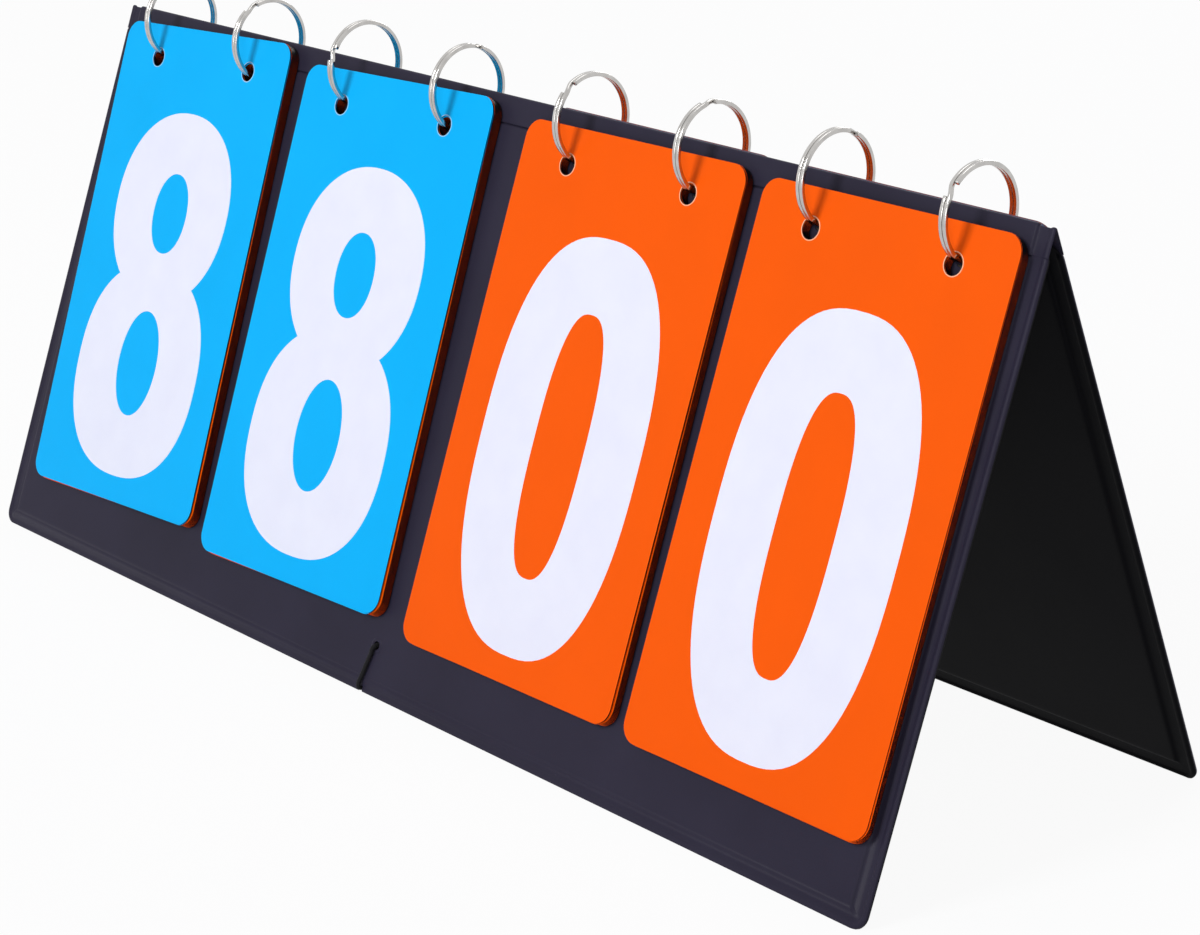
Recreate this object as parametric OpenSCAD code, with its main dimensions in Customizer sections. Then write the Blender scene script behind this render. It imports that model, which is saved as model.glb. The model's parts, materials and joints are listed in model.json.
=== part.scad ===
// Tabletop flip scoreboard: two boards sealed in vinyl and joined by a soft spine stand as a tent.
// Four stacks of numbered cards hang on split rings that pass through the cards and both boards.
// Millimetres, +Z up, X along the ridge, the counting side faces -Y, feet on Z = 0.

/* [Panels] */
// Width of each panel along the ridge
panel_w = 380; // [340:1:440]
// Height of each panel, measured down its slope from where the two outer faces would meet
panel_h = 168.6; // [164:0.1:200]
// Lean of each panel from upright, in degrees
lean = 21.2; // [17:0.1:26]
// Thickness of the stiff board inside a panel
board_t = 1.4; // [1:0.1:2]
// Thickness of one vinyl skin
skin_t = 0.4; // [0.3:0.05:0.6]
// Width of the welded flange round a board
flange_w = 5; // [4:0.1:7]
// Width of the raised weld bead at the flange's outer edge
bead_w = 1.6; // [1:0.1:2.4]
// Height of the weld bead above the flange
bead_h = 0.35; // [0.1:0.05:0.6]
// Corner radius of the panels at their feet
panel_r = 4; // [2:0.5:10]
// Corner radius of the stiff boards
board_r = 2; // [1:0.5:6]
// Distance from the ridge down to the top edge of the skins
skin_top = 6.2; // [5.8:0.1:7]
// Distance from the ridge down to the top edge of a stiff board
board_top = 9.6; // [9:0.1:11]
// Depth of the flat cut along the feet
foot_cut = 0.2; // [0.1:0.05:0.4]

/* [Spine] */
// Thickness of the soft spine
spine_t = 0.7; // [0.4:0.05:0.8]
// Inner radius of the fold along the ridge
spine_r = 0.15; // [0.1:0.05:0.4]

/* [Cards] */
// Width of a card
card_w = 84.2; // [75:0.1:86]
// Height of a card
card_h = 143.8; // [120:0.1:145]
// Thickness of a card
card_t = 0.24; // [0.18:0.01:0.26]
// Air between two stacked cards
card_gap = 0.04; // [0.03:0.01:0.05]
// Corner radius of a card
card_r = 5; // [2:0.5:10]
// Distance from a card's top edge down to its ring holes
hole_drop = 10; // [9:0.1:10.5]
// Diameter of the ring holes punched in a card
hole_d = 5.6; // [5.4:0.1:6.2]
// Distance between the two ring holes of a card
hole_pitch = 46.6; // [40:0.1:60]
// Gaps between the neighbouring stacks, from left to right
stack_gap = [9.8, 14.5, 6.4]; // [6:0.1:16]
// Shift of the row of stacks from the middle of the panels
stack_shift = 1.45; // [-1.5:0.05:1.5]
// Cards in front of the ridge in each stack, with the one that is shown
front_cards = [12, 12, 10, 10]; // [4:1:12]
// Cards behind the ridge in each stack
rear_cards = [8, 8, 10, 10]; // [4:1:10]
// Turn of the shown cards in the plane of the panel, in degrees
shown_skew = [2.9, 1.95, 0.7, 0.4]; // [-3.4:0.05:3.4]
// Turn of the next cards in the plane of the panel, in degrees
next_skew = [2.75, 1.7, 0.55, 0.55]; // [-3.4:0.05:3.4]
// Turn of the front packs in the plane of the panel, in degrees
pack_skew = [3.15, 2.2, 0.9, 0.2]; // [-3.4:0.05:3.4]
// Space between the panel and the nearest card
seat_gap = 0.15; // [0.1:0.05:0.2]
// Space between the shown card and the card behind it
show_gap = 0.12; // [0.08:0.02:0.2]

/* [Rings] */
// Radius of a split ring at the middle of its wire
ring_r = 12; // [11.8:0.1:12.4]
// Radial height of the ring wire
wire_h = 1.2; // [1:0.05:1.3]
// Width of one turn of the ring wire
wire_w = 1.05; // [0.9:0.05:1.15]
// Space between the two turns of a ring
turn_gap = 0.15; // [0.1:0.05:0.2]
// Rounding of the wire's edges
wire_r = 0.28; // [0.15:0.01:0.4]
// Distance from the ridge down to the rings' centres
ring_drop = 2.8; // [2.6:0.1:3.4]
// Diameter of the ring holes through the panels
panel_hole_d = 6; // [5.8:0.1:8]
// Running gap between a ring and the hole's edge that bears on it
ring_seat = 0.3; // [0.2:0.05:0.4]
// How far the rear cards ride up from the middle of their holes, for the fold
rear_ride = 0.35; // [0.2:0.05:0.5]
// Place of each ring's cross-over, in degrees round the ring from the rear side
joggle_at = [62, 118, 158, 74, 128, 96, 66, 142]; // [0:1:359]
// Half of the angle that the cross-over takes
joggle_half = 9; // [7:0.5:12]

/* [Tether] */
// Diameter of the tether cord
cord_d = 1.3; // [1:0.1:1.6]
// Distance from the ridge down to the tether holes
tether_drop = 154.8; // [150:0.1:157]
// Diameter of the tether holes
tether_hole_d = 4; // [3.4:0.1:5]
// Place of the tether along the ridge
tether_x = 0; // [-100:1:100]
// Place of the notches that let the tether pass under the feet, along the ridge
notch_x = -2.6; // [-4:0.1:4]
// Width of a notch
notch_w = 2.6; // [2.2:0.1:4]
// Room over the tether in a notch
notch_play = 0.5; // [0.3:0.1:1]
// Diameter of the tether's knot
knot_d = 3.4; // [3:0.1:3.8]

/* [Hidden] */
$fn = 48;
STACKS = [0, 1, 2, 3];
RINGS = [0, 1, 2, 3, 4, 5, 6, 7];

BLACK = "#26262b";
BOARD = "#8c8578";
BLUE = "#1eb9ff";
ORANGE = "#ff6416";
STEEL = "#c8ccd0";

// A little more than any cut needs, so that no cut ends on a face
over = 1;
panel_t = board_t + 2 * skin_t;
flange_z = -panel_t / 2;
ridge_z = panel_h * cos(lean) - (flange_z + skin_t) * sin(lean) - foot_cut;
card_pitch = card_t + card_gap;
board_wide = panel_w - 2 * flange_w - 2 * skin_t;
board_end = panel_h - flange_w - skin_t;
board_clear = 0.05;
ring_wide = 2 * wire_w + turn_gap;

// Centres of the stacks along the ridge
function gaps_before(stack) = stack == 0 ? 0 : stack_gap[stack - 1] + gaps_before(stack - 1);
row_w = len(STACKS) * card_w + gaps_before(len(STACKS) - 1);
stack_x = [for (i = STACKS) stack_shift - row_w / 2 + (i + 0.5) * card_w + gaps_before(i)];

// Height above a panel's outer face of the card with a number, counted from the panel
function card_z(index) = seat_gap + index * card_pitch;

// Distance from the ridge, down a panel, at which the rings cross a height above its outer face
function ring_cross(height) =
    let (away = height + ring_drop * sin(lean))
    ring_drop * cos(lean) + sqrt(ring_r * ring_r - away * away);

// Half of the height that a round hole has at the sides of the ring's wire
function hole_reach(diameter) = sqrt(diameter * diameter - ring_wide * ring_wide) / 2;

// Distance from the ridge down to the middle of a front card's holes, when the card hangs on its rings
function hang(height, skew) =
    ring_cross(height + card_t / 2) + hole_reach(hole_d) - wire_h / 2 - ring_seat - hole_pitch / 2 * sin(abs(skew));

// The same for the rear cards, which share one place so that the fold can take them along
rear_hang = ring_cross(card_z(max(rear_cards) / 2)) - rear_ride;

// The rings rest on the lower edge of their holes through the panels
panel_hole = ring_cross(flange_z) + wire_h / 2 + ring_seat - hole_reach(panel_hole_d);

// Carries a piece drawn flat to the front panel: its x runs along the ridge, its y runs up the
// panel and ends at the ridge, and its z is the height above the panel's outer face
module on_front() {
    translate([0, 0, ridge_z]) rotate([90 - lean, 0, 0]) children();
}

// The same for the rear panel, whose x runs the other way
module on_rear() {
    rotate([0, 0, 180]) on_front() children();
}

module above_floor() {
    difference() {
        children();
        translate([-panel_w, -panel_h, -2 * panel_h]) cube([2 * panel_w, 2 * panel_h, 2 * panel_h]);
    }
}

module rounded_plate(width, height, radius, thick) {
    linear_extrude(thick)
        union() {
            translate([-width / 2 + radius, 0]) square([width - 2 * radius, height]);
            translate([-width / 2, radius]) square([width, height - 2 * radius]);
            for (x = [radius - width / 2, width / 2 - radius], y = [radius, height - radius])
                translate([x, y]) circle(radius);
        }
}

// A plate that hangs down its panel from one distance below the ridge to another
module hung_plate(width, top, end, radius, low, high) {
    translate([0, -end, low]) rounded_plate(width, end - top, radius, high - low);
}

module ring_holes(low, high) {
    for (x = stack_x, side = [-1, 1])
        translate([x + side * hole_pitch / 2, -panel_hole, low]) cylinder(d = panel_hole_d, h = high - low);
}

module tether_hole(low, high) {
    translate([tether_at, -tether_drop, low]) cylinder(d = tether_hole_d, h = high - low);
}

module tether_notch() {
    notch_h = cord_d + notch_play;
    translate([tether_at + notch_x - notch_w / 2, -panel_h, -over]) cube([notch_w, 2 * panel_h, notch_h + over]);
}

module board(mirror_x) {
    difference() {
        hung_plate(board_wide - 2 * board_clear, board_top, board_end, board_r, -skin_t - board_t, -skin_t);
        mirror([mirror_x, 0, 0]) ring_holes(-panel_t - over, over);
        mirror([mirror_x, 0, 0]) tether_hole(-panel_t - over, over);
    }
}

// One skin: a shallow pan over the board, with a flange round it and a bead along the flange.
// It is drawn with the pan upwards from the middle of the panel
module skin(mirror_x) {
    pan_h = panel_t / 2;
    inner_r = board_r + board_clear;
    difference() {
        union() {
            hung_plate(panel_w, skin_top, panel_h, panel_r, 0, skin_t);
            hung_plate(board_wide + 2 * skin_t, board_top - skin_t, board_end + skin_t, inner_r + skin_t, 0, pan_h);
            difference() {
                hung_plate(panel_w, board_top, panel_h, panel_r, 0, skin_t + bead_h);
                hung_plate(panel_w - 2 * bead_w, 0, panel_h - bead_w, panel_r - bead_w, -over, pan_h + over);
            }
        }
        hung_plate(board_wide, board_top - board_clear, board_end + board_clear, inner_r, -over, pan_h - skin_t);
        mirror([mirror_x, 0, 0]) ring_holes(-over, pan_h + over);
        mirror([mirror_x, 0, 0]) tether_hole(-over, pan_h + over);
    }
}

module front_board() {
    color(BOARD) on_front() board(0);
}

module rear_board() {
    color(BOARD) on_rear() board(1);
}

module panel_skin(mirror_x, inside) {
    translate([0, 0, flange_z]) mirror([0, 0, inside]) skin(mirror_x);
}

module front_outer_skin() {
    color(BLACK) difference() {
        above_floor() on_front() panel_skin(0, 0);
        tether_notch();
    }
}

module front_inner_skin() {
    color(BLACK) difference() {
        above_floor() on_front() panel_skin(0, 1);
        tether_notch();
    }
}

module rear_outer_skin() {
    color(BLACK) difference() {
        above_floor() on_rear() panel_skin(1, 0);
        tether_notch();
    }
}

module rear_inner_skin() {
    color(BLACK) difference() {
        above_floor() on_rear() panel_skin(1, 1);
        tether_notch();
    }
}

// The spine lies on the top flanges of both outer skins and folds over the ridge in an arc
spine_seat = flange_z + skin_t;
spine_step = 0.3;
spine_end = board_top - skin_t - spine_step;
spine_steps = 12;

// A point of the front panel's slope, as [y, z] measured from the ridge
function slope_point(down, height) =
    [-down * sin(lean) - height * cos(lean), -down * cos(lean) + height * sin(lean)];

// Centre of the fold's arc: it lies on the middle plane and touches both seats
fold_centre = (spine_seat - spine_r) / sin(lean);

function spine_arc(radius) = [
    for (step = [0 : spine_steps])
        let (turn = (180 - lean) - step * (180 - 2 * lean) / spine_steps)
        [radius * cos(turn), fold_centre + radius * sin(turn)]
];

function mirrored(point) = [-point[0], point[1]];

spine_outer = concat([slope_point(spine_end, spine_seat + spine_t)], spine_arc(spine_r + spine_t));
spine_inner = concat([slope_point(spine_end, spine_seat)], spine_arc(spine_r));

module spine_hinge() {
    outer = concat(spine_outer, [mirrored(spine_outer[0])]);
    inner = concat(spine_inner, [mirrored(spine_inner[0])]);
    color(BLACK)
        translate([-panel_w / 2, 0, ridge_z]) rotate([90, 0, 90]) linear_extrude(panel_w)
            polygon(concat(outer, [for (i = [len(inner) - 1 : -1 : 0]) inner[i]]));
}

// A card with its two ring holes, turned a little in its own plane about the middle of the holes
module card(height, skew, hole_at) {
    translate([0, -hole_at, height]) rotate([0, 0, skew]) difference() {
        translate([0, hole_drop - card_h, 0]) rounded_plate(card_w, card_h, card_r, card_t);
        for (side = [-1, 1])
            translate([side * hole_pitch / 2, 0, -over]) cylinder(d = hole_d, h = card_t + 2 * over);
    }
}

// A card that hangs on its rings in front of the ridge
module front_card(stack, height, skew) {
    on_front() translate([stack_x[stack], 0, 0]) card(height, skew, hang(height, skew));
}

module rear_card(stack, index) {
    on_rear() translate([-stack_x[stack], 0, 0]) card(card_z(index), 0, rear_hang);
}

function run_colour(stack) = stack < 2 ? BLUE : ORANGE;

module shown_card(stack) {
    color(run_colour(stack))
        front_card(stack, card_z(front_cards[stack] - 1) + show_gap, shown_skew[stack]);
}

module next_card(stack) {
    color(run_colour(stack))
        front_card(stack, card_z(front_cards[stack] - 2), next_skew[stack]);
}

module front_pack(stack) {
    color(ORANGE)
        for (index = [0 : front_cards[stack] - 3]) front_card(stack, card_z(index), pack_skew[stack]);
}

module rear_pack(stack) {
    color(BLUE)
        for (index = [0 : rear_cards[stack] - 2]) rear_card(stack, index);
}

module rear_face_card(stack) {
    color(run_colour(stack)) rear_card(stack, rear_cards[stack] - 1);
}

// The wire's outline, with its height along x, made smaller all round by a little
module wire_profile(less) {
    a = wire_h / 2 - less;
    b = wire_w / 2 - less;
    k = wire_r;
    polygon([[k - a, -b], [a - k, -b], [a, k - b], [a, b - k], [a - k, b], [k - a, b], [-a, b - k], [-a, k - b]]);
}

// One turn of a ring: it runs nearly all the way round and stops at the cross-over
module ring_turn() {
    rotate_extrude(angle = 360 - 2 * joggle_half) translate([ring_r, 0]) wire_profile(0);
}

// The cross-over runs from the end of one turn to the start of the other, and bites a little into both
cross_less = 0.07;
cross_bite = 0.2;

module cross_over() {
    run = ring_r * sin(joggle_half);
    side = (wire_w + turn_gap) / 2;
    slope = atan2(side, run);
    translate([ring_r * cos(joggle_half), 0, 0]) rotate([slope - 90, 0, 0])
        linear_extrude(2 * (norm([run, side]) + cross_bite), center = true) wire_profile(cross_less);
}

// A split ring, standing across the ridge: two turns of wire side by side, joined by a cross-over
module split_ring(index) {
    x = stack_x[floor(index / 2)] + (index % 2 == 0 ? -1 : 1) * hole_pitch / 2;
    color(STEEL)
        translate([x, 0, ridge_z - ring_drop]) rotate([90, 0, 90]) rotate([0, 0, joggle_at[index]])
            union() {
                for (side = [-1, 1])
                    translate([0, 0, side * (wire_w + turn_gap) / 2]) rotate([0, 0, joggle_half]) ring_turn();
                cross_over();
            }
}

// The tether is one closed loop. From the middle of its upper run, inside, it goes out through the
// front hole, down the panel and under the foot to the middle of its lower run. The rear is the same.
// Each point is [x, y, z], with x from the middle of the tether and y towards the front
function side_point(aside, down, height) =
    let (p = slope_point(down, height))
    [aside, -p[0], ridge_z + p[1]];

hole_mid = side_point(0, tether_drop, flange_z);
hole_y = hole_mid[1];
hole_z = hole_mid[2];
foot_y = side_point(0, panel_h, 0)[1];

// The cord lies a hair off the surfaces that it runs along
cord_play = 0.1;
cord_lift = cord_d / 2 + cord_play / 2;
upper_z = hole_z - 0.9;
bend_low = 2.5;

// Where the cord starts to turn at the hole, on either side of the wall
bend_near = panel_t / 2 + 0.45;
bend_far = panel_t / 2 + 1.25;

// How far the cord's last bend lies inside the foot
foot_bend = 0.8;

// Cards that reach down to the tether have it pass beside the second stack
pack_low = hang(card_z(0), pack_skew[1]) + (card_h - hole_drop) * cos(pack_skew[1]);
pack_side = stack_x[1] + card_w / 2 + (card_h - hole_drop) * sin(pack_skew[1]);
beside_pack = pack_side + cord_d + cord_play - notch_x;
tether_at = pack_low + cord_d < tether_drop ? tether_x : max(tether_x, beside_pack);

tether_side = concat(
    [for (part = [0, 0.25, 0.5, 0.75, 0.9]) [0, part * hole_y, upper_z]],
    [[0, hole_y - bend_near, hole_z - 0.3], [0, hole_y + 0.25, hole_z + 0.3]],
    [[-0.1, hole_y + bend_near, hole_z + 0.4], [-0.3, hole_y + bend_far, hole_z - 0.3]],
    [for (part = [0, 0.25, 0.5, 0.75, 1])
        side_point(
            notch_x * (0.25 + 0.75 * part),
            (tether_drop + bend_low) * (1 - part) + (panel_h - bend_low) * part,
            cord_d / 2 + cord_play
        )],
    [[notch_x, foot_y - cord_play, 2 * cord_lift], [notch_x, foot_y - foot_bend, cord_lift + cord_play]],
    [[notch_x, foot_y - panel_t, cord_lift]],
    [for (part = [0.9, 0.75, 0.55, 0.35, 0.15, 0]) [notch_x, part * foot_y, cord_lift]]
);
tether_loop = concat(
    [for (p = tether_side) [tether_at + p[0], -p[1], p[2]]],
    [for (i = [len(tether_side) - 2 : -1 : 1]) let (p = tether_side[i]) [tether_at + p[0], p[1], p[2]]]
);
tether_sides = 8;

function unit(v) = v / norm(v);

// The eight corners of the cord round one point of the loop
function cord_ring(index) =
    let (
        last = len(tether_loop),
        here = tether_loop[index],
        along = unit(tether_loop[(index + 1) % last] - tether_loop[(index + last - 1) % last]),
        side = unit(cross(along, [1, 0, 0])),
        up = cross(side, along)
    )
    [for (k = [0 : tether_sides - 1])
        here + cord_d / 2 * (cos(360 * k / tether_sides) * side + sin(360 * k / tether_sides) * up)];

module tether_cord() {
    count = len(tether_loop);
    corners = [for (i = [0 : count - 1]) each cord_ring(i)];
    faces = [
        for (i = [0 : count - 1], k = [0 : tether_sides - 1])
            let (
                a = i * tether_sides + k,
                b = i * tether_sides + (k + 1) % tether_sides,
                c = ((i + 1) % count) * tether_sides + (k + 1) % tether_sides,
                d = ((i + 1) % count) * tether_sides + k
            )
            each [[a, b, c], [a, c, d]]
    ];
    color(BLACK) polyhedron(corners, faces);
}

// The knot sits on the upper run, inside, at this part of the way from its middle to the hole
knot_part = 0.64;

module tether_knot() {
    color(BLACK) translate([tether_at, -knot_part * hole_y, upper_z]) sphere(d = knot_d);
}

front_board();
front_outer_skin();
front_inner_skin();
rear_board();
rear_outer_skin();
rear_inner_skin();
spine_hinge();
tether_cord();
tether_knot();
for (i = STACKS) shown_card(i);
for (i = STACKS) next_card(i);
for (i = STACKS) front_pack(i);
for (i = STACKS) rear_face_card(i);
for (i = STACKS) rear_pack(i);
for (i = RINGS) split_ring(i);
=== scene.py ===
"""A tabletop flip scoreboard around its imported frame: vinyl panels, number cards, split rings and tether."""

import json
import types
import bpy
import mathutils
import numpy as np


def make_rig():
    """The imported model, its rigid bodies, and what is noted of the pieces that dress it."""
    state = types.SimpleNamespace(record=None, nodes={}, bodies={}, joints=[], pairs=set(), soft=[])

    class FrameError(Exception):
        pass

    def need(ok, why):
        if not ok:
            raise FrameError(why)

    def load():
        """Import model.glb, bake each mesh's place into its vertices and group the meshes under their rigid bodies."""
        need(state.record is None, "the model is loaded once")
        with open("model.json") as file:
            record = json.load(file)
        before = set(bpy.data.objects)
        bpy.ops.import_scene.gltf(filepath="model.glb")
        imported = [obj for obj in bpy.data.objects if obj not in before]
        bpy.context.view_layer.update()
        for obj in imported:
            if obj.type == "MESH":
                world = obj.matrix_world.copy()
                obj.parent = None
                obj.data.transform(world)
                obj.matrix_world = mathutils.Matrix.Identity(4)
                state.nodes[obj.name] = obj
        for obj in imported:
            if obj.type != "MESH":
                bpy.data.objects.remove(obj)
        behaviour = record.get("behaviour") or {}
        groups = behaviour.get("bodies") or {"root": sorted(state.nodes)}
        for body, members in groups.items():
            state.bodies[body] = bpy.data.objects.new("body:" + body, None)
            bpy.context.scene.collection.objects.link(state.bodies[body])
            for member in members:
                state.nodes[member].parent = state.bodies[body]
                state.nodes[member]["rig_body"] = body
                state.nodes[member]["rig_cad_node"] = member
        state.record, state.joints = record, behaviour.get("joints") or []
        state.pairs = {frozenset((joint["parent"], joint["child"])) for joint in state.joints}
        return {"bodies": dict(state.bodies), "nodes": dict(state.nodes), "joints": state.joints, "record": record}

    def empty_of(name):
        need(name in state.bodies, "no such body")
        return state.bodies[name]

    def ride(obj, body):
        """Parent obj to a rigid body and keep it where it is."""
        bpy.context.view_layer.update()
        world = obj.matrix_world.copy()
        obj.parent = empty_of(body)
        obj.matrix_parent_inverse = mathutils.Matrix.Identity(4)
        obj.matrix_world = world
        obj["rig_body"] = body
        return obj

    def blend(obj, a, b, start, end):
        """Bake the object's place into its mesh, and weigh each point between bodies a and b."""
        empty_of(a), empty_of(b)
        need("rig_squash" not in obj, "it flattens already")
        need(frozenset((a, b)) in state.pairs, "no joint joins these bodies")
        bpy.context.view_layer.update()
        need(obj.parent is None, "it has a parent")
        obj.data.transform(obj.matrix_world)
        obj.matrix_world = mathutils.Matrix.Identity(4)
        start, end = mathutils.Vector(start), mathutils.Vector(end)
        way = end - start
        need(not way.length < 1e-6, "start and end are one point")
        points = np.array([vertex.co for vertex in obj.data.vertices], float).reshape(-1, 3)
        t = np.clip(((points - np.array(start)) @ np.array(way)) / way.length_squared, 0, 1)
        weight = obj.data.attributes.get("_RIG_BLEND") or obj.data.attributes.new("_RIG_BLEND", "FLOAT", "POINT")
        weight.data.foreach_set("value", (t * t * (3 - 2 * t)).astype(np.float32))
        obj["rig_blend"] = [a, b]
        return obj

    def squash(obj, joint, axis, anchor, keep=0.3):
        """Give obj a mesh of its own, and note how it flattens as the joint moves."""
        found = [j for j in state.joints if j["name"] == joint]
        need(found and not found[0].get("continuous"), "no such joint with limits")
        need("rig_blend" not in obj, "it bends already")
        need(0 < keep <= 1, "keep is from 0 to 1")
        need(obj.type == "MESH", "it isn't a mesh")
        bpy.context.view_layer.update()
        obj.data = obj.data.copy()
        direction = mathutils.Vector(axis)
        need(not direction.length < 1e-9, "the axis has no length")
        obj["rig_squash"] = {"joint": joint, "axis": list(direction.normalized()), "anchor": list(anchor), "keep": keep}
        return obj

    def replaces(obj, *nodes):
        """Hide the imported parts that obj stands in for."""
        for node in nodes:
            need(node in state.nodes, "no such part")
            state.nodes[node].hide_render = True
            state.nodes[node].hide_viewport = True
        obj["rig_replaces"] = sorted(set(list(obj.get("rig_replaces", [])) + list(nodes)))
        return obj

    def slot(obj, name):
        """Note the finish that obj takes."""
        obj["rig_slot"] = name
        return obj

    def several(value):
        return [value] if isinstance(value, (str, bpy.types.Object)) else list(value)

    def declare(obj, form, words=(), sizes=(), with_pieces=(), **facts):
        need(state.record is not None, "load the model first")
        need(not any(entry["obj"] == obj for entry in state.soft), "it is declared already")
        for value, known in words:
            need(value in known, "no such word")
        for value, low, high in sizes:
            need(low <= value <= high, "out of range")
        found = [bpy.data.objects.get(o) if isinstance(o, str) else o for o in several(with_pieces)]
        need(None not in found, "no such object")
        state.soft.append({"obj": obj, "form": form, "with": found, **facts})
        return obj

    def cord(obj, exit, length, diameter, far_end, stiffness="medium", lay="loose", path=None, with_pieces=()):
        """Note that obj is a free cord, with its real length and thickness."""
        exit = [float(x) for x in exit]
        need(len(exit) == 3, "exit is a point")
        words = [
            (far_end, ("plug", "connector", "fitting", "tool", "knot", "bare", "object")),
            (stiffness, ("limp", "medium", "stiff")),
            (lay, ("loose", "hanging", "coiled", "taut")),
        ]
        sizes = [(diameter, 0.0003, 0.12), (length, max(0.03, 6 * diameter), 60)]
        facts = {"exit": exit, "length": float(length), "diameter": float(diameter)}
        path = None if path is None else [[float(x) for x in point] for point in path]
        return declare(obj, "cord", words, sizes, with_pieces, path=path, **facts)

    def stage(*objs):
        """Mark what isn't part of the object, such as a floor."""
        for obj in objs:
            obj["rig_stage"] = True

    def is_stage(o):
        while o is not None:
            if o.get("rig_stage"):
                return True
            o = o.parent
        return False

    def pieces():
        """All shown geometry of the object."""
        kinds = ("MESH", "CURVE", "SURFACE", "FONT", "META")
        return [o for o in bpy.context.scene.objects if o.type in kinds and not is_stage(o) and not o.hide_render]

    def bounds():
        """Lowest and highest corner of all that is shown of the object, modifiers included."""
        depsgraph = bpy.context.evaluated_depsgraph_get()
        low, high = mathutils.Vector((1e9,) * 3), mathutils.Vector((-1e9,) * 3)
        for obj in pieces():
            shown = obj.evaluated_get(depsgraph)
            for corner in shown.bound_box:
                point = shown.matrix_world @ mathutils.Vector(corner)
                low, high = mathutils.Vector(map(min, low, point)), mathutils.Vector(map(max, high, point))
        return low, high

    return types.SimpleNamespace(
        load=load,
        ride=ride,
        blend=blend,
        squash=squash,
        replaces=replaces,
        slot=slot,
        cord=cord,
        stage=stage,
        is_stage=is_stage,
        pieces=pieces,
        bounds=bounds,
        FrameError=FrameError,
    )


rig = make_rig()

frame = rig.load()

import json
import logging
import math
from dataclasses import dataclass, field
from enum import Enum
from typing import Callable, Iterable, Mapping, Sequence

import bmesh
import bpy
from mathutils import Matrix, Vector
from mathutils.geometry import delaunay_2d_cdt

CAD_LOW, CAD_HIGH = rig.bounds()
SIZE_FILE = "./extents.json"
MM = 0.001
CORNER_STEPS = 8
LOG =logging.getLogger("scoreboard")

Point2 = tuple[float, float]
Place = Callable[[float, float, float], Vector]
Colour = tuple[float, float, float, float]


def srgb(red: int, green: int, blue: int) -> Colour:
    """Turn a screen colour into the linear colour that a shader takes.

    Args:
        red: Red from 0 to 255.
        green: Green from 0 to 255.
        blue: Blue from 0 to 255.

    Returns:
        The linear colour, with full alpha.
    """
    def linear(value: int) -> float:
        """Return one linear channel."""
        share = value / 255
        return share / 12.92 if share <= 0.04045 else ((share + 0.055) / 1.055) ** 2.4

    return (linear(red), linear(green), linear(blue), 1.0)


@dataclass(frozen=True)
class Sizes:
    """The sizes of the scoreboard in millimetres, as its solids have them."""

    panel_w: float = 380.0
    panel_h: float = 168.6
    lean: float = math.radians(21.2)
    skin_t: float = 0.4
    board_t: float = 1.4
    flange_w: float = 5.0
    panel_r: float = 4.0
    board_top: float = 9.6
    skin_top: float = 6.2
    foot_cut: float = 0.2
    spine_t: float = 0.7
    spine_r: float = 0.15
    spine_end: float = 8.9
    card_t: float = 0.24
    card_gap: float = 0.04
    hole_drop: float = 10.0
    hole_d: float = 5.6
    hole_pitch: float = 46.6
    seat_gap: float = 0.15
    show_gap: float = 0.12
    ring_r: float = 12.0
    wire_h: float = 1.2
    wire_w: float = 1.05
    turn_gap: float = 0.15
    ring_drop: float = 2.8
    panel_hole_d: float = 6.0
    ring_seat: float = 0.3
    rear_ride: float = 0.35
    joggle_half: float = 9.0
    cord_d: float = 1.3
    tether_drop: float = 154.8
    notch_x: float = -2.6
    notch_w: float = 1.6
    notch_h: float = 1.45
    eye_d: float = 2.3
    stack_x: tuple[float, ...] = (-140.2, -46.2, 52.5, 143.1)
    front_cards: tuple[int, ...] = (12, 12, 10, 10)
    rear_cards: tuple[int, ...] = (8, 8, 10, 10)
    shown_skew: tuple[float, ...] = (2.9, 1.95, 0.7, 0.4)
    next_skew: tuple[float, ...] = (2.75, 1.7, 0.55, 0.55)
    pack_skew: tuple[float, ...] = (3.15, 2.2, 0.9, 0.2)
    joggle_at: tuple[float, ...] = (62, 118, 158, 74, 128, 96, 66, 142)

    @property
    def panel_t(self) -> float:
        """Thickness of a whole panel."""
        return self.board_t + 2 * self.skin_t

    @property
    def mid(self) -> float:
        """Height of a panel's middle plane over its outer face."""
        return -self.panel_t / 2

    @property
    def ridge_z(self) -> float:
        """Height at which the two outer faces would meet."""
        foot = (self.mid + self.skin_t) * math.sin(self.lean)
        return self.panel_h * math.cos(self.lean) - foot - self.foot_cut

    def card_z(self, index: int) -> float:
        """Return the height of a card over the panel's outer face."""
        return self.seat_gap + index * (self.card_t + self.card_gap)

    def ring_cross(self, height: float) -> float:
        """Return the distance down a panel at which the rings cross a height."""
        away = height + self.ring_drop * math.sin(self.lean)
        return self.ring_drop * math.cos(self.lean) + math.sqrt(self.ring_r ** 2 - away ** 2)

    def hang(self, height: float, skew: float) -> float:
        """Return the distance from the ridge down to the middle of a hanging card's holes."""
        wide = 2 * self.wire_w + self.turn_gap
        reach = math.sqrt(self.hole_d ** 2 - wide ** 2) / 2
        drop = self.hole_pitch / 2 * math.sin(math.radians(abs(skew)))
        return self.ring_cross(height + self.card_t / 2) + reach - self.wire_h / 2 - self.ring_seat - drop

    @property
    def rear_hang(self) -> float:
        """The same for the cards behind the ridge."""
        return self.ring_cross(self.card_z(max(self.rear_cards) / 2)) - self.rear_ride

    @property
    def panel_hole(self) -> float:
        """Distance from the ridge down to the ring holes in the panels."""
        wide = 2 * self.wire_w + self.turn_gap
        reach = math.sqrt(self.panel_hole_d ** 2 - wide ** 2) / 2
        return self.ring_cross(self.mid) + self.wire_h / 2 + self.ring_seat - reach


SIZES = Sizes()


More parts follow.
